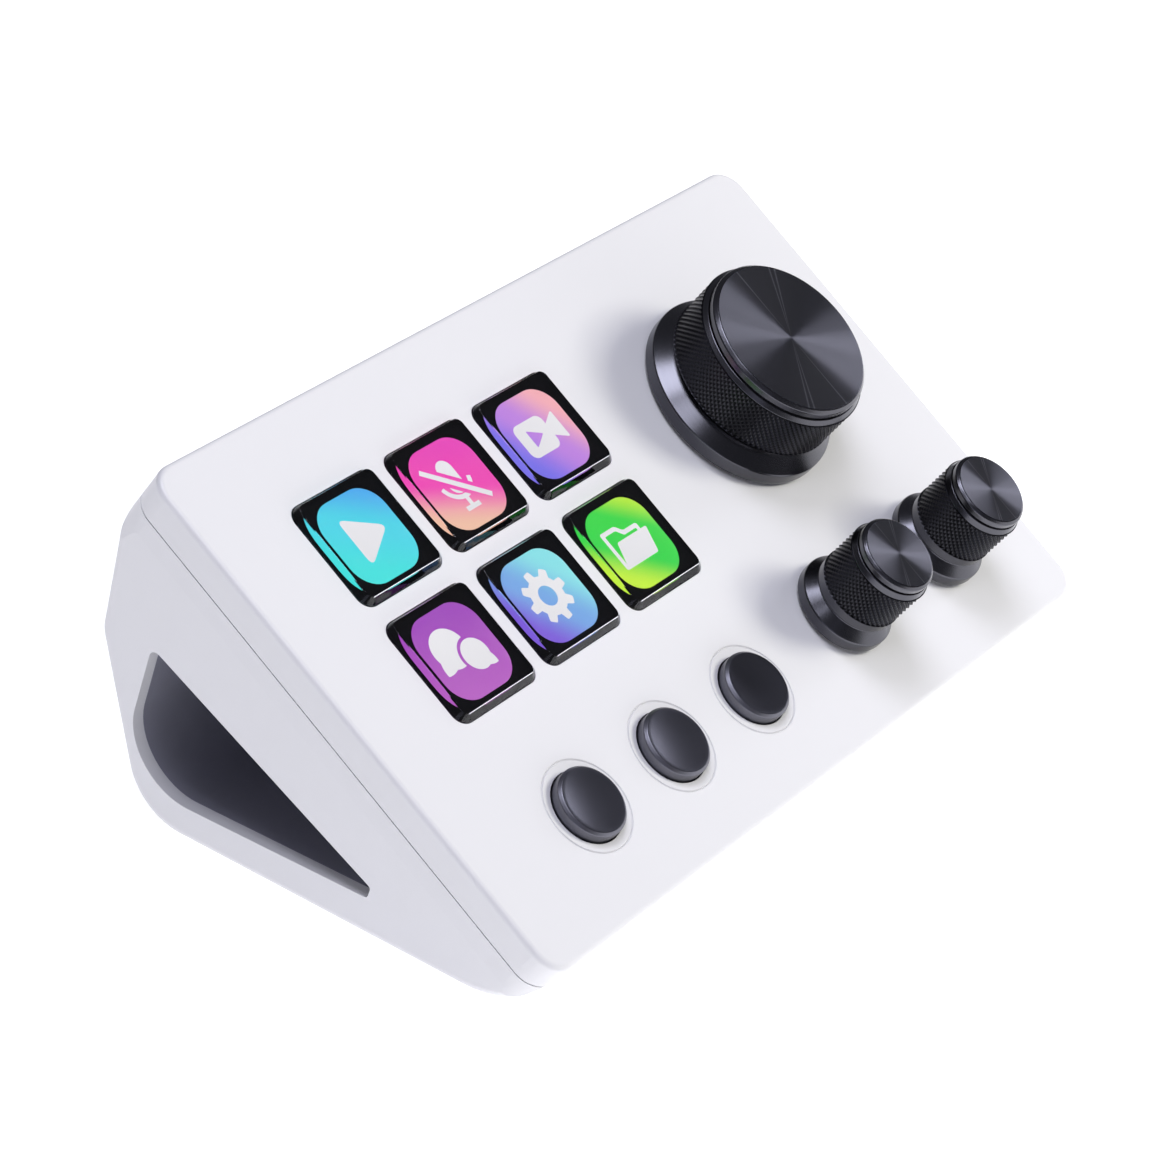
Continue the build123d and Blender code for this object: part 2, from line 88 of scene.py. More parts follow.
screen_middle = -1.35    # w of a screen's centre, and the same for the other two kinds below
actuator_middle = -6.75
bushing_middle = -0.9
key_numbers = range(1, 7)
button_names = ("left", "middle", "right")
knob_names = ("main", "left", "right")
key_homes = {i: middle(f"key_screen_{i}") - MM * screen_middle * W for i in key_numbers}
button_homes = {k: middle(f"button_actuator_{k}") - MM * actuator_middle * W for k in button_names}
knob_homes = {k: middle(f"encoder_bushing_{k}") - MM * bushing_middle * W for k in knob_names}
grid_middle = sum(key_homes.values(), Vector()) / len(key_homes)
panel_from_grid = 23.0 * U - 9.8 * V     # in mm
panel_middle = grid_middle + MM * panel_from_grid
print("middle of the panel in mm:", [round(x / MM, 2) for x in panel_middle])

# %% [markdown]
# ## Camera
# A long lens from the user's left keeps the wedge's edges almost parallel. The camera is rolled,
# so the panel hangs across the picture as a diamond. Its three directions are given in the panel's
# frame and squared up before use.

# %% Camera
FRAME_PIXELS = 1172
focal_pixels = 4192.28
sensor_width = 36.0
camera_from_panel = (-416.65, -59.94, 359.51)
camera_right = Vector((0.567103, -0.631741, 0.528486))
camera_forward = Vector((0.739675, 0.108370, -0.664181))

camera_data = bpy.data.cameras.new("camera")
camera_data.sensor_width = sensor_width
camera_data.lens = focal_pixels / FRAME_PIXELS * sensor_width
camera_data.clip_start = 0.01
camera = bpy.data.objects.new("camera", camera_data)
camera_back = -camera_forward.normalized()
camera_up = camera_back.cross(camera_right).normalized()
camera_side = camera_up.cross(camera_back)
turn = Matrix(PANEL_AXES.tolist()).transposed() @ Matrix((camera_side, camera_up, camera_back)).transposed()
eye = Vector(on_panel(camera_from_panel, panel_middle))
camera.matrix_world = Matrix.Translation(eye) @ turn.to_4x4()
bpy.context.scene.collection.objects.link(camera)
bpy.context.scene.camera = camera
print("camera stands at, in mm:", [round(x / MM) for x in eye])

# %% [markdown]
# ## Studio
# A product table: a bright floor, a softbox overhead, and a warm one at the user's right that throws
# the knobs' soft shadows to the left. That one is left out of reflections, as a flag would do in a
# real studio, so the spun knob tops keep their dark fields. A broad cool lamp fills the left side,
# a small one up on the left draws a bright line along the panel's edge, and one at the far right
# gives the buttons their sheen. The room is dim, because the clear keys mirror it and have to stay
# black. Cool light in the shade and warm light outside it is what tints the shadows lavender.

# %% Floor and room
floor_size = 3.0
floor_mesh = bpy.data.meshes.new("floor")
half_floor = floor_size / 2
floor_mesh.from_pydata([(-half_floor, -half_floor, 0), (half_floor, -half_floor, 0),
                        (half_floor, half_floor, 0), (-half_floor, half_floor, 0)],
                       [], [(0, 1, 2, 3)])
floor = bpy.data.objects.new("floor", floor_mesh)
bpy.context.scene.collection.objects.link(floor)
room = bpy.data.worlds.new("room")
room.use_nodes = True
room_light = room.node_tree.nodes["Background"]
room_light.inputs["Color"].default_value = (0.86, 0.87, 1.0, 1)
room_light.inputs["Strength"].default_value = 0.12
bpy.context.scene.world = room
bpy.context.scene.view_settings.view_transform = "Standard"


# %% Softboxes
def softbox(name, direction, distance, width, height, power, colour, mirrored=True):
    """A rectangular lamp that stands off along a direction and faces the panel's middle."""
    data = bpy.data.lights.new(name, "AREA")
    data.shape = "RECTANGLE"
    data.size = width
    data.size_y = height
    data.energy = power
    data.color = colour
    lamp = bpy.data.objects.new(name, data)
    away = Vector(direction).normalized()
    lamp.matrix_world = (Matrix.Translation(panel_middle + away * distance)
                         @ away.to_track_quat("Z", "Y").to_matrix().to_4x4())
    lamp.visible_camera = False
    lamp.visible_glossy = mirrored
    bpy.context.scene.collection.objects.link(lamp)
    return lamp


COOL, SKY, WARM = (0.865, 0.873, 1.0), (0.78, 0.79, 1.0), (1.0, 0.985, 0.88)
softbox("softbox_over", (-0.12, 0.06, 0.99), 0.9, 0.38, 0.38, 3.9, COOL)
softbox("softbox_right", (0.55, -0.66, 0.5), 0.9, 0.24, 0.3, 4.9, WARM, mirrored=False)
softbox("softbox_left", (-0.85, -0.48, 0.22), 1.0, 0.9, 0.5, 0.8, SKY)
softbox("softbox_edge", (-0.35, -0.33, 0.88), 0.9, 0.3, 0.3, 1.5, COOL)
softbox("softbox_sheen", (0.93, -0.25, 0.28), 0.9, 0.25, 0.25, 0.9, COOL)

# %% [markdown]
# ## Materials
# Most finishes here are one of three things: moulded plastic with a fine spark-eroded grain,
# turned aluminium under black anodising, and clear plastic. The grain, the turning marks and the
# painted highlight streaks on the knob tops are node groups, built once, so that every material
# uses the same effect at its own scale.


# %% A small language for shader nodes
def new_material(name, **sockets):
    """A material with a Principled shader whose sockets are set by name (spaces as underscores)."""
    material = bpy.data.materials.new(name)
    material.use_nodes = True
    shader = material.node_tree.nodes["Principled BSDF"]
    for socket, value in sockets.items():
        shader.inputs[socket.replace("_", " ")].default_value = value
    return material, material.node_tree, shader


def math_node(tree, operation, first, second):
    """A Math node whose two inputs are each a socket or a number."""
    node = tree.nodes.new("ShaderNodeMath")
    node.operation = operation
    for socket, value in zip(node.inputs, (first, second)):
        if isinstance(value, (int, float)):
            socket.default_value = value
        else:
            tree.links.new(value, socket)
    return node.outputs[0]


def new_group(name, inputs, outputs):
    """An empty shader node group with float inputs (name: default) and named outputs."""
    group = bpy.data.node_groups.new(name, "ShaderNodeTree")
    group.interface.new_socket("Vector", in_out="INPUT", socket_type="NodeSocketVector")
    for label, default in inputs.items():
        socket = group.interface.new_socket(label, in_out="INPUT", socket_type="NodeSocketFloat")
        socket.default_value = default
    for label in outputs:
        group.interface.new_socket(label, in_out="OUTPUT", socket_type="NodeSocketFloat")
    return group, group.nodes.new("NodeGroupInput"), group.nodes.new("NodeGroupOutput")


# %% Fine grain: the skin of moulded plastic and blasted metal
def make_fine_grain():
    """Two layers of noise on a position: height is the fine one, rough the slow one about 1."""
    group, source, result = new_group("fine_grain", {"Scale": 4000.0, "Unevenness": 0.1},
                                      ("Height", "Rough"))
    fine = group.nodes.new("ShaderNodeTexNoise")
    fine.inputs["Detail"].default_value = 2.0
    slow = group.nodes.new("ShaderNodeTexNoise")
    slow.inputs["Scale"].default_value = 60.0
    for noise in (fine, slow):
        group.links.new(source.outputs["Vector"], noise.inputs["Vector"])
    group.links.new(source.outputs["Scale"], fine.inputs["Scale"])
    centred = math_node(group, "SUBTRACT", slow.outputs["Fac"], 0.5)
    spread = math_node(group, "MULTIPLY", centred, source.outputs["Unevenness"])
    group.links.new(math_node(group, "ADD", spread, 1.0), result.inputs["Rough"])
    group.links.new(fine.outputs["Fac"], result.inputs["Height"])
    return group


# %% Turning marks: the rings a lathe tool leaves
def make_turning_marks():
    """Noise read from a UV map whose U runs round the piece: squeezed along V, it makes rings."""
    group, source, result = new_group("turning_marks", {"Rings": 300.0, "Unevenness": 0.3},
                                      ("Height", "Rough"))
    parts = group.nodes.new("ShaderNodeSeparateXYZ")
    group.links.new(source.outputs["Vector"], parts.inputs[0])
    joined = group.nodes.new("ShaderNodeCombineXYZ")
    group.links.new(math_node(group, "MULTIPLY", parts.outputs["Y"], source.outputs["Rings"]),
                    joined.inputs["Y"])
    rings = group.nodes.new("ShaderNodeTexNoise")
    rings.inputs["Scale"].default_value = 1.0
    rings.inputs["Detail"].default_value = 3.0
    group.links.new(joined.outputs[0], rings.inputs["Vector"])
    centred = math_node(group, "SUBTRACT", rings.outputs["Fac"], 0.5)
    spread = math_node(group, "MULTIPLY", centred, source.outputs["Unevenness"])
    group.links.new(math_node(group, "ADD", spread, 1.0), result.inputs["Rough"])
    group.links.new(rings.outputs["Fac"], result.inputs["Height"])
    return group


# %% Painted highlight streaks: fine bright lines across a disc, through its centre
def make_painted_streaks(angles=(54.0, 58.5, 90.0), width=0.006):
    """Mask of painted highlight lines at some angles: 1 - distance / width, where 1 is half a turn in U."""
    group, source, result = new_group("painted_streaks", {}, ("Mask",))
    parts = group.nodes.new("ShaderNodeSeparateXYZ")
    group.links.new(source.outputs["Vector"], parts.inputs[0])
    half_turns = math_node(group, "MULTIPLY", parts.outputs["X"], 2.0)
    mask = 0.0
    for angle in angles:
        distance = math_node(group, "PINGPONG", math_node(group, "SUBTRACT", half_turns, angle / 180), 0.5)
        line = math_node(group, "SUBTRACT", 1.0, math_node(group, "DIVIDE", distance, width))
        mask = math_node(group, "MAXIMUM", line, mask)
    group.links.new(mask, result.inputs["Mask"])
    return group


fine_grain = make_fine_grain()
turning_marks = make_turning_marks()
painted_streaks = make_painted_streaks()
print("node groups:", [group.name for group in bpy.data.node_groups])


# %% Put a group's height and roughness on a material
def add_surface(tree, shader, group, position, depth, strength=1.0, **values):
    """Feeds the group's Rough, times the shader's roughness, and its Height through a Bump node."""
    effect = tree.nodes.new("ShaderNodeGroup")
    effect.node_tree = group
    for label, value in values.items():
        effect.inputs[label].default_value = value
    source = tree.nodes.new("ShaderNodeTexCoord")
    tree.links.new(source.outputs[position], effect.inputs["Vector"])
    roughness = shader.inputs["Roughness"].default_value
    tree.links.new(math_node(tree, "MULTIPLY", effect.outputs["Rough"], roughness),
                   shader.inputs["Roughness"])
    bump = tree.nodes.new("ShaderNodeBump")
    bump.inputs["Strength"].default_value = strength
    bump.inputs["Distance"].default_value = depth * MM
    tree.links.new(effect.outputs["Height"], bump.inputs["Height"])
    tree.links.new(bump.outputs["Normal"], shader.inputs["Normal"])
    return effect


def plastic(name, colour, roughness, grain_depth=0.01, scale=4000.0, **sockets):
    """Moulded plastic with its fine grain."""
    material, tree, shader = new_material(name, Base_Color=(*colour, 1), Roughness=roughness, **sockets)
    add_surface(tree, shader, fine_grain, "Object", grain_depth, Scale=scale)
    return material


def turned_metal(name, colour, roughness, rings, mark_depth, **sockets):
    """Anodised aluminium off a lathe: dark metal, with the tool's rings as bump."""
    material, tree, shader = new_material(name, Base_Color=(*colour, 1), Roughness=roughness,
                                          Metallic=1.0, **sockets)
    add_surface(tree, shader, turning_marks, "UV", mark_depth, Rings=rings)
    return material


def spun_metal(name, colour, streak_highlight_colour, roughness, rings):
    """Turned metal whose highlight is drawn out across the rings, with a few radial painted highlight lines."""
    material, tree, shader = new_material(name, Roughness=roughness, Metallic=1.0, Anisotropic=1.0,
                                          Anisotropic_Rotation=0.25)
    add_surface(tree, shader, turning_marks, "UV", 0.0, Rings=rings)
    along_rings = tree.nodes.new("ShaderNodeTangent")
    along_rings.direction_type = "UV_MAP"
    tree.links.new(along_rings.outputs[0], shader.inputs["Tangent"])
    effect = tree.nodes.new("ShaderNodeGroup")
    effect.node_tree = painted_streaks
    source = tree.nodes.new("ShaderNodeTexCoord")
    tree.links.new(source.outputs["UV"], effect.inputs["Vector"])
    # painted highlight: the streak mask mixes a brighter colour into the metal along the lines
    mix = tree.nodes.new("ShaderNodeMix")
    mix.data_type = "RGBA"
    mix.inputs["A"].default_value = (*colour, 1)
    mix.inputs["B"].default_value = (*streak_highlight_colour, 1)
    tree.links.new(effect.outputs["Mask"], mix.inputs["Factor"])
    tree.links.new(mix.outputs["Result"], shader.inputs["Base Color"])
    return material


# %% The finishes
housing_white = plastic("housing_white", (0.757, 0.753, 0.766), 0.34, grain_depth=0.003)
tunnel_dark = plastic("tunnel_dark", (0.25, 0.25, 0.3), 0.38)
rubber_black = plastic("rubber_black", (0.02, 0.02, 0.022), 0.75, grain_depth=0.03, scale=2500.0)
board_green = plastic("board_green", (0.01, 0.08, 0.04), 0.35)
switch_black = plastic("switch_black", (0.02, 0.02, 0.022), 0.5)
key_black = plastic("key_black", (0.006, 0.006, 0.008), 0.16, grain_depth=0.001)
mask_black = plastic("mask_black", (0.004, 0.004, 0.005), 0.5, grain_depth=0.001,
                     Specular_IOR_Level=0.0)
button_black = plastic("button_black", (0.16, 0.16, 0.185), 0.36, grain_depth=0.002, Metallic=1.0)
hub_plastic = plastic("hub_plastic", (0.55, 0.55, 0.52), 0.5)
steel_bright = plastic("steel_bright", (0.6, 0.6, 0.62), 0.25, grain_depth=0.003, Metallic=1.0)
bushing_brass = plastic("bushing_brass", (0.6, 0.46, 0.25), 0.3, grain_depth=0.003, Metallic=1.0)
knob_body = turned_metal("knob_body", (0.095, 0.095, 0.107), 0.24, rings=160.0, mark_depth=0.001)
# painted shade: the knob's anodised metal again, drawn darker on the knurl
knob_knurl = turned_metal("knob_knurl", (0.032, 0.032, 0.037), 0.3, rings=160.0, mark_depth=0.001)
# the second colour is painted highlight: thin bright lines that stand in for reflections of narrow lamps
knob_face = spun_metal("knob_face", (0.19, 0.19, 0.212), (0.5, 0.5, 0.55), 0.3, rings=260.0)
floor_white = plastic("floor_white", (0.85, 0.85, 0.86), 0.9, grain_depth=0.0,
                      Emission_Color=(1, 1, 1, 1), Emission_Strength=0.66)
floor_mesh.materials.append(floor_white)

# %% Finishes on the CAD nodes
slot_finish = {
    "housing": housing_white, "liner": tunnel_dark, "rubber": rubber_black, "board": board_green,
    "steel": steel_bright, "switch": switch_black, "key_black": key_black,
    "button_black": button_black, "hub": hub_plastic, "encoder": steel_bright,
    "bushing": bushing_brass, "knob_dark": knob_body, "knob_spun": knob_face,
}
slot_of_node = {part["node"]: part["material_slot"] for part in frame["record"]["subparts"]}
for name, node in nodes.items():
    finish = slot_finish.get(slot_of_node[name])
    if finish:
        node.data.materials.clear()
        node.data.materials.append(finish)
print("slots in use:", sorted(set(slot_of_node.values())))

# %% [markdown]
# ## Making meshes from arrays
# Two kinds of shape are enough for this object. A turned piece is a profile swept round an axis,
# and a moulded piece is a pile of closed outlines, one above another. Both are grids of points
# that numpy works out at once. Their ends are closed, so each mesh is a solid skin.


# %% Rounding a path's corners
def round_path(points, radii, steps=4):
    """Replaces each inner point by a curve that starts and ends one radius away along its sides.

    The curve is the quadratic (1-t)^2 start + 2t(1-t) corner + t^2 end. It works in any number of
    dimensions, so a path can carry a width, a depth, a corner radius and a height together. A
    point a little before it and one after it keep smooth shading off the flat faces beside it.
    """
    points = np.asarray(points, float)
    before, corner, after = points[:-2], points[1:-1], points[2:]
    reach = np.asarray(radii, float)[:, None]
    back = reach * (before - corner) / np.linalg.norm(before - corner, axis=1)[:, None]
    on = reach * (after - corner) / np.linalg.norm(after - corner, axis=1)[:, None]
    t = np.linspace(0, 1, steps + 1)[None, :, None]
    curves = corner[:, None] + (1 - t) ** 2 * back[:, None] + t ** 2 * on[:, None]
    near, far = (corner + 1.2 * back)[:, None], (corner + 1.2 * on)[:, None]
    rounded = np.concatenate([near, curves, far], axis=1)
    return np.vstack([points[:1], rounded.reshape(-1, points.shape[1]), points[-1:]])


# %% A mesh from vertices and faces
def add_piece(name, vertices, faces, material, body, slot, replaced=(), edge_angle=30.0, uv=None):
    """Makes the object, shades it smooth up to an angle, and hands it to the frame."""
    mesh = bpy.data.meshes.new(name)
    mesh.from_pydata(np.asarray(vertices).tolist(), [], faces)
    mesh.polygons.foreach_set("use_smooth", np.ones(len(mesh.polygons), bool))
    mesh.set_sharp_from_angle(angle=np.radians(edge_angle))
    if uv is not None:
        layer = mesh.uv_layers.new(name="around")
        layer.uv.foreach_set("vector", np.asarray(uv, np.float32).ravel())
    mesh.materials.append(material)
    piece = bpy.data.objects.new(name, mesh)
    bpy.context.scene.collection.objects.link(piece)
    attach(piece, body)
    if replaced:
        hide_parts(*replaced)
    return piece


def ring_quads(rows, columns, first=0):
    """Vertex numbers of the quads between closed rings of points, row by row, facing outwards."""
    row, column = np.meshgrid(np.arange(rows - 1), np.arange(columns), indexing="ij")
    next_column = (column + 1) % columns
    quads = np.stack([row * columns + column, row * columns + next_column,
                      (row + 1) * columns + next_column, (row + 1) * columns + column], axis=-1)
    return quads.reshape(-1, 4) + first


# %% Turned pieces
def turned(name, profile, home, material, body, slot, segments=192, relief=None, inlay=None,
           **options):
    """Sweeps (radius, height) points, whose ends lie on the axis, round the w direction.

    A point of the skin is (r cos a, r sin a, h). Relief, a function of the angle and the height,
    is added to r. U of the map is a / 360 degrees and V is the share of the profile's length. An
    inlay is a second material for the strips that lie wholly between two heights.
    """
    profile = np.asarray(profile, float)
    length = np.concatenate([[0], np.cumsum(np.linalg.norm(np.diff(profile, axis=0), axis=1))])
    share = length / length[-1]
    inner = profile[1:-1]
    angle = np.linspace(0, 2 * np.pi, segments, endpoint=False)
    a, r = np.meshgrid(angle, inner[:, 0])
    h = np.broadcast_to(inner[:, 1:2], r.shape)
    if relief:
        r = r + relief(a, h)
    skin = np.stack([r * np.cos(a), r * np.sin(a), h], axis=-1).reshape(-1, 3)
    poles = [[0, 0, profile[0, 1]], [0, 0, profile[-1, 1]]]
    rows = len(inner)
    column = np.arange(segments)
    after = (column + 1) % segments
    low_pole = np.stack([after, column, np.full(segments, rows * segments)], axis=-1)
    last = (rows - 1) * segments
    high_pole = np.stack([last + column, last + after, np.full(segments, rows * segments + 1)], axis=-1)
    faces = ring_quads(rows, segments).tolist() + low_pole.tolist() + high_pole.tolist()
    left, right = column / segments, (column + 1) / segments
    lower, upper = (np.repeat(share[k:k + rows - 1], segments) for k in (1, 2))
    many_left, many_right = np.tile(left, rows - 1), np.tile(right, rows - 1)
    quad_uv = np.stack([many_left, lower, many_right, lower, many_right, upper, many_left, upper], axis=-1)
    halfway = (left + right) / 2
    first, top = np.full(segments, share[1]), np.full(segments, share[-2])
    low_uv = np.stack([right, first, left, first, halfway, np.zeros(segments)], axis=-1)
    high_uv = np.stack([left, top, right, top, halfway, np.ones(segments)], axis=-1)
    uv = np.concatenate([quad_uv.ravel(), low_uv.ravel(), high_uv.ravel()])
    vertices = on_panel(np.vstack([skin, poles]), home)
    piece = add_piece(name, vertices, faces, material, body, slot, uv=uv, **options)
    if inlay:
        second, low, high = inlay
        piece.data.materials.append(second)
        height = profile[:, 1]
        strip = np.minimum(height[:-1], height[1:]) > low - 1e-6
        strip &= np.maximum(height[:-1], height[1:]) < high + 1e-6
        in_face_order = np.concatenate([strip[1:-1], strip[:1], strip[-1:]]).astype(int)
        piece.data.polygons.foreach_set("material_index", np.repeat(in_face_order, segments))
    return piece


# %% Moulded pieces
def rounded_rectangle(width, depth, corner, u=0.0, v=0.0, steps=10):
    """Closed outline about a middle: four quarter circles of one radius about the corner centres."""
    quarter = np.linspace(0, np.pi / 2, steps)
    starts = np.arange(4) * np.pi / 2
    t = starts[:, None] + quarter[None, :]
    signs = np.array([(1, 1), (-1, 1), (-1, -1), (1, -1)])
    centres = signs * (np.array([width, depth]) / 2 - corner)
    circle = corner * np.stack([np.cos(t), np.sin(t)], axis=-1)
    return (centres[:, None] + circle).reshape(-1, 2) + (u, v)


def pile(outlines, heights, first=0):
    """Closed outlines with the same number of points, joined one above another, with both ends."""
    rows, columns = len(heights), len(outlines[0])
    level = np.repeat(np.asarray(heights, float), columns)[:, None]
    points = np.hstack([np.vstack(outlines), level])
    bottom = np.arange(columns)[::-1] + first
    top = np.arange((rows - 1) * columns, rows * columns) + first
    return points, ring_quads(rows, columns, first).tolist() + [bottom.tolist(), top.tolist()]


def moulded_block(name, path, home, material, body, slot, **options):
    """A pile of rounded rectangles that follow a path of (width, depth, corner, u, v, height)."""
    points, faces = pile([rounded_rectangle(*step[:-1]) for step in path], path[:, -1])
    return add_piece(name, on_panel(points, home), faces, material, body, slot, **options)


def moulded_ring(name, path, home, material, body, slot):
    """A wall whose section follows a path of (width, depth, corner, u, v, height), back to its start."""
    outlines = [rounded_rectangle(*step[:-1]) for step in path]
    rows, columns = len(path), len(outlines[0])
    points = np.hstack([np.vstack(outlines), np.repeat(path[:, -1], columns)[:, None]])
    faces = ring_quads(rows + 1, columns) % (rows * columns)
    return add_piece(name, on_panel(points, home), faces.tolist(), material, body, slot)


# %% [markdown]
# ## Knobs
# A knob is turned from bar: a flange with a cone, a groove, a barrel with a diamond knurl, and a
# bevelled collar. A separate disc with a spun face closes the top. The knurl could be faked with a
# bump texture, but its teeth show along the knob's outline, so they are cut in the mesh. Two sets
# of slanted V grooves cross, and what they leave between them are small four-sided pyramids. The
# knurl's metal is drawn darker than the rest of the shell, as painted shade.

# %% Knob sizes, in mm
knob_sizes = {
    "main": {
        "base": 14.65, "wall": 2.6, "neck": 11.9, "neck_height": 4.5, "barrel": 13.1, "bevel": 0.6,
        "knurl": (5.4, 12.3), "collar": 12.45, "collar_height": 13.0, "top": 12.35,
        "top_edge": 0.5, "height": 14.6, "teeth": 96, "rows": 8,
    },
    "left": {
        "base": 7.2, "wall": 2.2, "neck": 5.7, "neck_height": 3.6, "barrel": 6.25, "bevel": 0.3,
        "knurl": (5.5, 11.9), "collar": 5.8, "collar_height": 12.8, "top": 5.72,
        "top_edge": 0.4, "height": 14.2, "teeth": 46, "rows": 8,
    },
}
knob_sizes["right"] = knob_sizes["left"]
knob_foot = 0.6
tooth_depth = 0.28
neck_groove = 0.2
knurl_rim = 0.12         # plain band between the knurl and the collar's cone
top_seat = 0.05          # how far a top disc reaches into its shell
shadow_groove = (0.25, 0.3)    # depth and height of the groove under a top disc
samples_per_tooth = 8


# %% The diamond knurl
def diamond_knurl(teeth, rows, low, high):
    """Relief of a diamond knurl between two heights.

    Each groove family is a triangle wave of (angle share x teeth) plus or minus (height share x
    rows). A tooth's height is the lower of the two waves, less one, so its tip stays on the
    barrel's radius. Outside the band the relief is nought.
    """
    def relief(a, h):
        around = a / (2 * np.pi) * teeth
        along = (h - low) / (high - low) * rows
        waves = [1 - np.abs(2 * np.mod(around + side * along, 1) - 1) for side in (-1, 1)]
        inside = (h > low + 1e-6) & (h < high - 1e-6)
        return np.where(inside, tooth_depth * (np.minimum(*waves) - 1), 0)
    return relief


# %% Knob shells
def shell_profile(size):
    """The turned outline from the flange's underside up to the collar, with broken edges."""
    low, high = size["knurl"]
    smooth = size["barrel"] - tooth_depth / 2
    barrel_bottom = size["neck_height"] + neck_groove
    lower = [(0.0, knob_foot), (size["base"], knob_foot), (size["base"], size["wall"]),
             (size["neck"], size["neck_height"]), (size["neck"], barrel_bottom),
             (smooth - size["bevel"], barrel_bottom), (smooth, barrel_bottom + size["bevel"]),
             (smooth, low)]
    band_heights = np.linspace(low, high, size["rows"] * samples_per_tooth + 1)
    band = np.stack([np.full(len(band_heights), size["barrel"]), band_heights], axis=-1)
    upper = [(smooth, high), (smooth, high + knurl_rim), (size["collar"], size["collar_height"]),
             (0.0, size["collar_height"])]
    lower = round_path(lower, [0.25, 0.18, 0.08, 0.05, 0.06, 0.06], steps=3)
    upper = round_path(upper, [0.05, 0.08], steps=3)
    return np.vstack([lower, band, upper])


for name in knob_names:
    size = knob_sizes[name]
    relief = diamond_knurl(size["teeth"], size["rows"], *size["knurl"])
    shell = turned(f"knob_shell_{name}_turned", shell_profile(size), knob_homes[name], knob_body,
                   f"knob_{name}", "knob_dark", segments=size["teeth"] * samples_per_tooth,
                   relief=relief, inlay=(knob_knurl, *size["knurl"]),
                   replaced=[f"knob_shell_{name}"], edge_angle=28.0)
    print(shell.name, "faces:", len(shell.data.polygons))


# %% Knob tops
def top_profile(size):
    """The disc: a shadow groove under it, an upright edge and a bright bevel round the face."""
    foot, radius, edge = size["collar_height"] - top_seat, size["top"], size["top_edge"]
    waist, ledge = radius - shadow_groove[0], foot + shadow_groove[1]
    corners = [(0.0, foot), (waist, foot), (waist, ledge), (radius, ledge),
               (radius, size["height"] - edge), (radius - edge, size["height"]), (0.0, size["height"])]
    outline = round_path(corners, [0.05, 0.05, 0.08, 0.12, 0.12], steps=4)
    face = np.stack([np.linspace(outline[-2, 0], 0, 14)[1:], np.full(13, size["height"])], axis=-1)
    return np.vstack([outline[:-1], face])


for name in knob_names:
    size = knob_sizes[name]
    top = turned(f"knob_top_{name}_spun", top_profile(size), knob_homes[name], knob_body,
                 f"knob_{name}", "knob_spun", inlay=(knob_face, size["height"], size["height"]),
                 replaced=[f"knob_top_{name}"], edge_angle=28.0)
print("last top's faces:", len(top.data.polygons))

# %% [markdown]
# ## Round buttons
# The buttons are satin black with a shallow dish for the fingertip and a fine bevel that catches
# the light as a thin ring. A dish could be cut from a block with a sphere, but the whole button is
# a turned shape too, so the dish is one stretch of its profile, a parabola.

# %% Buttons
button_radius, button_rim, button_rise = 5.1, 4.65, 1.55
button_draft, button_edge = 0.02, 0.4    # how far the wall leans in, and the bevel's height
dish_depth, dish_radius = 0.35, 4.35
flange_radius, flange_low, flange_high, stem_radius, stem_end = 6.2, -3.1, -2.1, 1.75, -6.0


def button_profile():
    """Stem, flange and cap. The dish falls from its rim by depth x (1 - (r / radius)^2)."""
    r = np.linspace(dish_radius, 0, 16)
    dish = np.stack([r, button_rise - dish_depth * (1 - (r / dish_radius) ** 2)], axis=-1)
    corners = [(0.0, stem_end), (stem_radius, stem_end), (stem_radius, flange_low),
               (flange_radius, flange_low), (flange_radius, flange_high), (button_radius, flange_high),
               (button_radius - button_draft, button_rise - button_edge),
               (button_rim, button_rise), dish[0]]
    outline = round_path(corners, [0.1, 0.05, 0.1, 0.1, 0.05, 0.1, 0.08], steps=4)
    return np.vstack([outline, dish[1:]])


for name in button_names:
    button = turned(f"button_cap_{name}_dished", button_profile(), button_homes[name], button_black,
                    f"button_{name}", "button_black", segments=128, replaced=[f"button_cap_{name}"])
print(button.name, "faces:", len(button.data.polygons))

# %% [markdown]
# ## Keys
# A key is a clear cap over a screen, held in a black skirt. The cap is a block of clear plastic,
# bevelled at about 45 degrees on its four sides, with a refractive index of 1.49. The skirt closes
# the block's upright sides, or the white panel would shine in. Skirt and screen are bonded to the
# cap, with no air between them, so they stand a hair inside the clear block. A cap could be a hollow
# shell too, but a solid block has no inner faces that would mirror the lamps.

# %% Clear caps
clear_plastic, clear_tree, clear_shader = new_material(
    "clear_plastic", Base_Color=(1, 1, 1, 1), Roughness=0.015, IOR=1.49, Transmission_Weight=1.0)
add_surface(clear_tree, clear_shader, fine_grain, "Object", 0.0)
cap_bottom, cap_rise = -1.05, 0.95
key_base = np.array([16.75, 15.9, 1.95, -0.075, -0.35])    # width, depth, corner, middle's u and v
key_top = np.array([14.85, 14.8, 1.05, -0.075, -0.15])
wall_inset, skirt_wall, flat_margin = 0.04, 0.08, 0.3


def inset(outline, amount):
    """An outline drawn in by a distance on all sides."""
    return outline - amount * np.array([2, 2, 1, 0, 0])


def path_of(*steps):
    """A path out of (outline, height) pairs."""
    return np.array([(*outline, height) for outline, height in steps])


wall = inset(key_base, wall_inset)
cap_path = round_path(path_of((wall, cap_bottom), (wall, wall_inset), (key_top, cap_rise),
                              (inset(key_top, flat_margin), cap_rise)), [0.03, 0.1], steps=4)
skirt_path = path_of((key_base, cap_bottom), (key_base, -wall_inset), (wall, 0.0),
                     (inset(key_base, skirt_wall), 0.0), (inset(key_base, skirt_wall), cap_bottom))
for i in key_numbers:
    cap = moulded_block(f"key_cap_{i}_clear", cap_path, key_homes[i], clear_plastic, f"key_{i}",
                        "cap_clear", replaced=[f"key_cap_{i}"], edge_angle=40.0)
    moulded_ring(f"key_skirt_{i}", skirt_path, key_homes[i], key_black, f"key_{i}", "key_black")
print(cap.name, "faces:", len(cap.data.polygons))

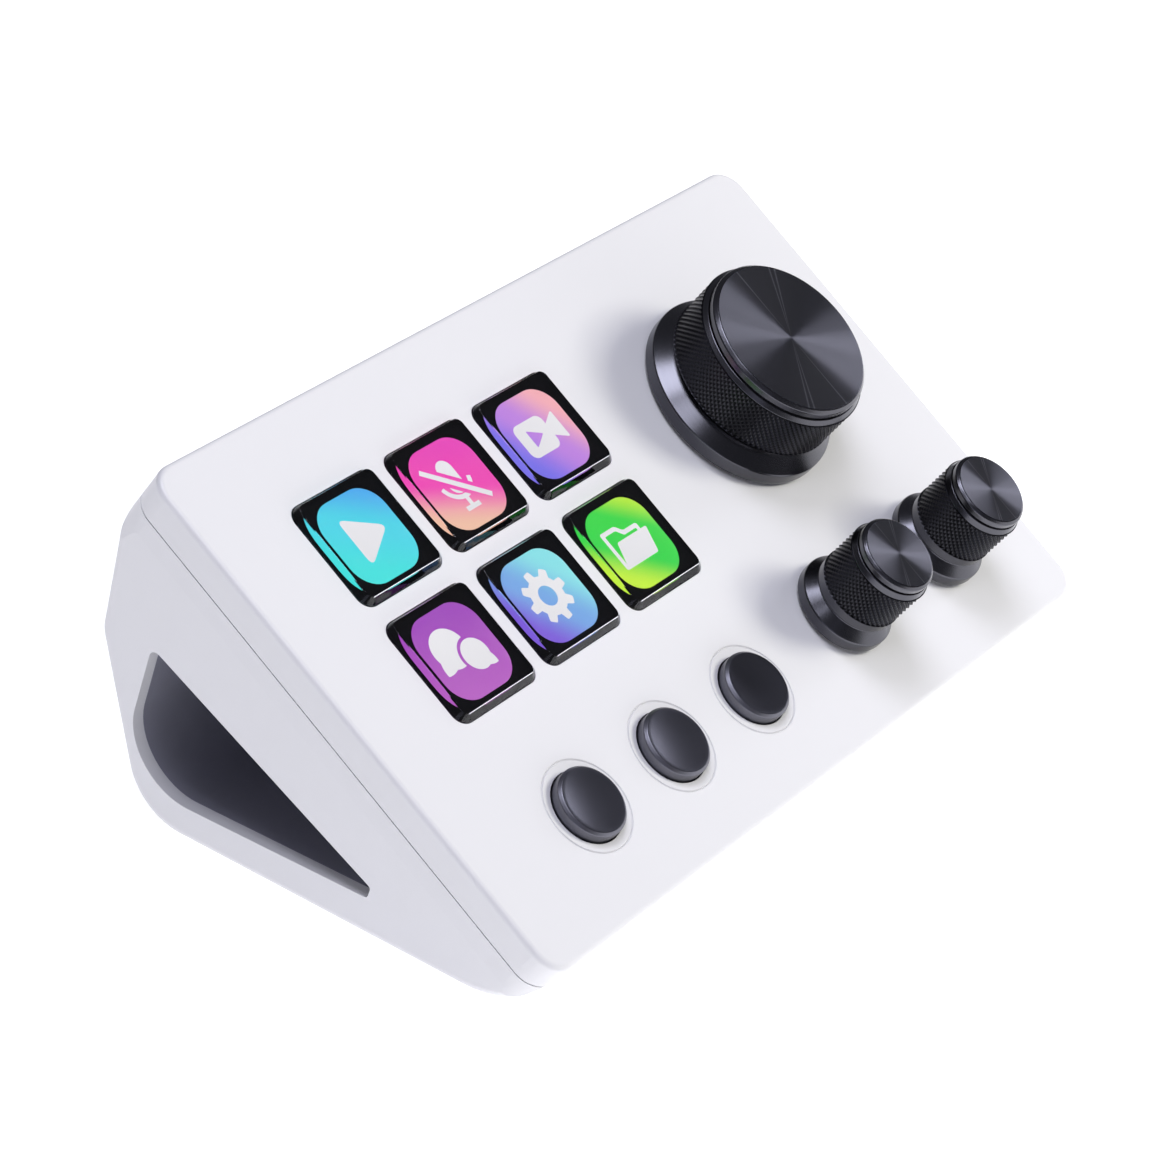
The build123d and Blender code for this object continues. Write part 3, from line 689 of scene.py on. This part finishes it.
# %% [markdown]
# ## White frames
# The keys sit a little towards the user in the panel's openings, and a thin white frame fills the
# rest of each opening. It could be four bars, but one ring with an off-centre hole has no joints.
# Its outer side reaches a hair into the housing and its top lies a hair lower, so that no two
# faces share a plane.

# %% White frames in the panel's openings
opening = np.array([17.4, 17.0, 2.2, 0.0, 0.0])
frame_low, frame_high, frame_grip, frame_gap, frame_edge = -0.9, -0.006, 0.05, 0.1, 0.04
frame_outside, frame_inside = inset(opening, -frame_grip), inset(key_base, -frame_gap)
frame_path = path_of((frame_outside, frame_low), (frame_outside, frame_high),
                     (inset(frame_inside, -frame_edge), frame_high),
                     (frame_inside, frame_high - frame_edge), (frame_inside, frame_low))
for i in key_numbers:
    moulded_ring(f"key_frame_{i}", frame_path, key_homes[i], housing_white, "base", "housing")

# %% [markdown]
# ## Screens and masks
# A screen is a black plate, and a black mask on the cap's underside hides what lies round it. The
# mask could be a ring, but a whole plate that ends just below the screen's face looks the same and
# has fewer faces. Both are a black that mirrors nothing, because they are bonded to the plastic.

# %% Black screen plates and the masks round them
bond = 0.03      # the screen stands this far inside the clear cap
screen_bottom, mask_thickness = -1.65, 0.05
screen = np.array([14.6, 14.6, 3.0, 0.0, 0.0])
screen_path = path_of((screen, screen_bottom), (screen, cap_bottom + bond))
mask_path = path_of((wall, cap_bottom - mask_thickness), (wall, cap_bottom + bond / 2))
for i in key_numbers:
    moulded_block(f"key_screen_{i}_plate", screen_path, key_homes[i], mask_black, f"key_{i}",
                  "screen", replaced=[f"key_screen_{i}"])
    moulded_block(f"key_mask_{i}", mask_path, key_homes[i], mask_black, f"key_{i}", "key_black")


# %% [markdown]
# ## Pictures
# Each screen shows a colour that drifts across it and a plain white sign. The drift is a shader:
# the distance along one direction of the panel picks a colour from a ramp. The signs are thin
# plates, each a closed outline given by a formula, so their edges stay sharp at any distance.

# %% Drift: distance along a direction of the panel
def make_drift():
    """Puts out a position's share, 0 to 1, between a start and an end along a direction."""
    group = bpy.data.node_groups.new("drift", "ShaderNodeTree")
    for label in ("Position", "Centre", "Direction"):
        group.interface.new_socket(label, in_out="INPUT", socket_type="NodeSocketVector")
    group.interface.new_socket("Share", in_out="OUTPUT", socket_type="NodeSocketFloat")
    source, result = group.nodes.new("NodeGroupInput"), group.nodes.new("NodeGroupOutput")
    offset = group.nodes.new("ShaderNodeVectorMath")
    offset.operation = "SUBTRACT"
    group.links.new(source.outputs["Position"], offset.inputs[0])
    group.links.new(source.outputs["Centre"], offset.inputs[1])
    along = group.nodes.new("ShaderNodeVectorMath")
    along.operation = "DOT_PRODUCT"
    group.links.new(offset.outputs[0], along.inputs[0])
    group.links.new(source.outputs["Direction"], along.inputs[1])
    group.links.new(math_node(group, "ADD", along.outputs["Value"], 0.5), result.inputs["Share"])
    return group


drift = make_drift()


def lit_picture(name, home, direction, stops):
    """Glowing material: a colour ramp over the drift along (u, v), which spans the picture once."""
    material, tree, shader = new_material(name, Base_Color=(0, 0, 0, 1), Roughness=0.4,
                                          Emission_Strength=1.0)
    across = Vector(direction).normalized()
    effect = tree.nodes.new("ShaderNodeGroup")
    effect.node_tree = drift
    effect.inputs["Centre"].default_value = home
    effect.inputs["Direction"].default_value = (across.x * U + across.y * V) / (MM * picture_span)
    source = tree.nodes.new("ShaderNodeTexCoord")
    tree.links.new(source.outputs["Object"], effect.inputs["Position"])
    ramp = tree.nodes.new("ShaderNodeValToRGB")
    ramp.color_ramp.interpolation = "EASE"
    while len(ramp.color_ramp.elements) < len(stops):
        ramp.color_ramp.elements.new(0.5)
    for element, (share, colour) in zip(ramp.color_ramp.elements, stops):
        element.position = share
        element.color = (*linear(*colour), 1)
    tree.links.new(effect.outputs["Share"], ramp.inputs["Fac"])
    tree.links.new(ramp.outputs["Color"], shader.inputs["Emission Color"])
    return material


def linear(red, green, blue):
    """A colour named in the usual 0 to 255 steps, as the light values that shaders add up."""
    share = np.array([red, green, blue]) / 255
    return tuple(np.where(share <= 0.04045, share / 12.92, ((share + 0.055) / 1.055) ** 2.4).tolist())


# %% Picture colours
picture = np.array([12.5, 12.7, 3.9, 0.28, -0.18])
picture_span = 16.0
picture_colours = {
    1: ((0.5, 0.85), [(0.1, (60, 225, 222)), (0.6, (70, 212, 232)), (0.95, (72, 170, 238))]),
    2: ((0.38, 0.92), [(0.1, (238, 190, 165)), (0.5, (238, 66, 180)), (0.95, (232, 64, 186))]),
    3: ((0.86, 0.51), [(0.1, (118, 110, 232)), (0.5, (190, 130, 225)), (0.9, (245, 175, 185))]),
    4: ((0.2, 1.0), [(0.05, (180, 88, 192)), (0.95, (156, 62, 186))]),
    5: ((0.8, 0.6), [(0.08, (120, 85, 215)), (0.45, (115, 165, 228)), (0.85, (135, 225, 232))]),
    6: ((0.6, 0.8), [(0.1, (195, 238, 52)), (0.4, (40, 212, 66)), (0.7, (48, 214, 66)),
                     (0.98, (185, 235, 55))]),
}
sign_colours = [(0.0, (226, 225, 230)), (1.0, (236, 235, 240))]
picture_low, picture_high = cap_bottom - 0.2, cap_bottom + bond + 0.01
picture_glow, sign_glow = {}, {}
for i, (direction, stops) in picture_colours.items():
    picture_glow[i] = lit_picture(f"picture_{i}_glow", key_homes[i], direction, stops)
    sign_glow[i] = lit_picture(f"sign_{i}_glow", key_homes[i], direction, sign_colours)
    moulded_block(f"key_picture_{i}", path_of((picture, picture_low), (picture, picture_high)),
                  key_homes[i], picture_glow[i], f"key_{i}", "screen")
print("pictures:", len(picture_colours))

# %% [markdown]
# ## Stripes and glints
# Light from the screen runs up the left bevel and shows there as a stripe with pointed ends. Rays
# bent by the bevel alone give a narrower one, so a thin glowing leaf inside the bevel, painted
# light, gives it its full width. Along the near edge the cap catches the light as a fine white line.
# A lamp could draw it, but would also shine in the knob tops, so the line is a painted highlight:
# a thin glowing bar under the edge.

# %% The stripe of light in each cap's left bevel: real light bent by the bevel, widened by painted light
stripe_low, stripe_high, stripe_depth = 0.34, 0.84, 0.08
stripe_front, stripe_back = -6.0, 5.7
stripe_v = np.linspace(stripe_front, stripe_back, 41)


def stripe_outline(depth):
    """Outline on the left bevel, some depth inside it: low + (high - low) |share|^4, and back."""
    share = np.abs(2 * (stripe_v - stripe_front) / (stripe_back - stripe_front) - 1)
    height = np.concatenate([stripe_low + (stripe_high - stripe_low) * share ** 4,
                             np.full(len(stripe_v) - 2, stripe_high)])
    left = key_base[3] - key_base[0] / 2 + height * (key_base[0] - key_top[0]) / 2 / cap_rise
    along = np.concatenate([stripe_v, stripe_v[-2:0:-1]])
    inwards = depth * np.sqrt(0.5)
    return np.stack([left + inwards, along, height - inwards], axis=-1)


skins = [stripe_outline(depth) for depth in (2 * stripe_depth, stripe_depth)]
columns = len(skins[0])
stripe_faces = ring_quads(2, columns).tolist()
stripe_faces += [list(range(columns))[::-1], list(range(columns, 2 * columns))]
# painted light: each leaf glows with its picture's colours inside the bevel
for i in key_numbers:
    add_piece(f"key_painted_stripe_{i}", on_panel(np.vstack(skins), key_homes[i]), stripe_faces,
              picture_glow[i], f"key_{i}", "screen")
print("stripe faces:", len(stripe_faces))

# %% The painted highlight along each cap's near edge: a thin glowing bar
# painted highlight: the bar glows white where the near edge would catch the light
painted_glint_light, glint_tree, glint_shader = new_material("painted_glint_light", Roughness=0.4, Emission_Strength=0.6,
                                                     Emission_Color=(0.9, 0.9, 1.0, 1))
add_surface(glint_tree, glint_shader, fine_grain, "Object", 0.001)
glint_length, glint_width, glint_corner, glint_inset = 13.6, 0.09, 0.04, 0.07
glint_v = key_top[4] - key_top[1] / 2 + glint_inset
glint = np.array([glint_length, glint_width, glint_corner, key_top[3], glint_v])
glint_low, glint_high = cap_rise - 0.06, cap_rise - 0.03
glint_path = path_of((glint, glint_low), (glint, glint_high))
for i in key_numbers:
    moulded_block(f"key_painted_glint_{i}", glint_path, key_homes[i], painted_glint_light, f"key_{i}", "screen")
print("glint's middle, u and v:", key_top[3], round(glint_v, 2))

# %% [markdown]
# ## Signs
# The signs are plain pictograms for playing, muting, filming, talking, setting up and filing. A
# font or an image could carry them, but closed outlines need nothing from outside, and their
# shapes follow short formulas. A gap in a sign is a plate of the picture's own colour above it.


# %% Outlines
def rounded_corners(points, radius):
    """Closed outline through the points, with every corner curved from one radius before it."""
    points = np.asarray(points, float)
    loop = np.vstack([points[-1:], points, points[:1]])
    return round_path(loop, np.full(len(points), radius), steps=5)[1:-1]


def around(radius_at, centre=(0.0, 0.0), count=192):
    """Outline centre + r(a) (cos a, sin a), where the radius is a function of the angle."""
    a = np.linspace(0, 2 * np.pi, count, endpoint=False)
    radius = radius_at(a) * np.ones(count)
    return np.array(centre) + radius[:, None] * np.stack([np.cos(a), np.sin(a)], axis=-1)


def band(path, width):
    """Outline of a line of one width: the path moved by half the width to its right and left."""
    path = np.asarray(path, float)
    along = np.gradient(path, axis=0)
    along /= np.linalg.norm(along, axis=1)[:, None]
    left = width / 2 * along @ np.array([(0, 1), (-1, 0)])
    return np.vstack([path - left, (path + left)[::-1]])


def cogwheel(a):
    """r = 3.25 + 0.5 clip(2.4 sin 8a, -1, 1): eight teeth with flat tips and flat roots."""
    return 3.25 + 0.5 * np.clip(2.4 * np.sin(8 * a), -1, 1)


def bubble(radius, tail, spread=0.42):
    """r(a) = radius (1 + 0.45 max(0, 1 - |a - tail| / spread)): a circle with one pointed tail."""
    return lambda a: radius * (1 + 0.45 * np.maximum(0, 1 - np.abs(a - tail) / spread))


# %% The six signs, as layers of outlines: white, then the picture's colour, then white again
half_turn = np.linspace(np.radians(195), np.radians(345), 24)
cradle = np.stack([2.7 * np.cos(half_turn), 0.9 + 2.7 * np.sin(half_turn)], axis=-1)
slash = [(-3.9, 3.4), (3.9, -3.3)]
folder_back = [(-3.7, -2.7), (3.1, -2.7), (3.1, 1.9), (0.3, 1.9), (-0.6, 2.9), (-3.7, 2.9)]
folder_inside = [(-3.1, -2.1), (2.5, -2.1), (2.5, 1.3), (0.0, 1.3), (-0.9, 2.3), (-3.1, 2.3)]
sign_layers = {
    1: [[rounded_corners([(-2.3, -3.5), (3.9, 0.0), (-2.3, 3.5)], 1.2)]],
    2: [[rounded_rectangle(2.7, 4.8, 1.35, v=1.1), band(cradle, 0.65),
         band([(0.0, -1.7), (0.0, -3.3)], 0.65), band([(-1.3, -3.4), (1.3, -3.4)], 0.65)],
        [band(slash, 1.9)], [band(slash, 0.75)]],
    3: [[rounded_rectangle(5.8, 5.0, 1.1, u=-1.0),
         rounded_corners([(1.7, -0.8), (4.1, -2.1), (4.1, 2.1), (1.7, 0.8)], 0.4)],
        [rounded_corners([(-2.0, -1.3), (0.4, 0.0), (-2.0, 1.3)], 0.25)]],
    4: [[around(bubble(2.8, 3.9), (-1.2, 0.9))], [around(bubble(2.6, 5.5), (1.8, -1.2))],
        [around(bubble(2.15, 5.5), (1.8, -1.2))]],
    5: [[around(cogwheel)], [around(lambda a: 1.4)]],
    6: [[rounded_corners(folder_back, 0.4)], [rounded_corners(folder_inside, 0.2)],
        [rounded_corners([(-3.4, -2.7), (3.0, -2.7), (4.2, 0.9), (-2.0, 0.9)], 0.3)]],
}
sheet = 0.01     # each layer stands this far above the one under it
sign_scale, sign_shift = 1.07, (0.0, -0.12)
for i, layers in sign_layers.items():
    for level, outlines in enumerate(layers):
        points, faces = [], []
        for outline in outlines:
            heights = [picture_low, picture_high + sheet * (level + 1)]
            placed = sign_scale * outline + sign_shift
            plate_points, plate_faces = pile([placed, placed], heights, first=sum(map(len, points)))
            points.append(plate_points)
            faces += plate_faces
        glow = (sign_glow, picture_glow)[level % 2][i]
        add_piece(f"key_sign_{i}_{level}", on_panel(np.vstack(points), key_homes[i]), faces, glow,
                  f"key_{i}", "screen")
print("sign layers:", sum(len(layers) for layers in sign_layers.values()))
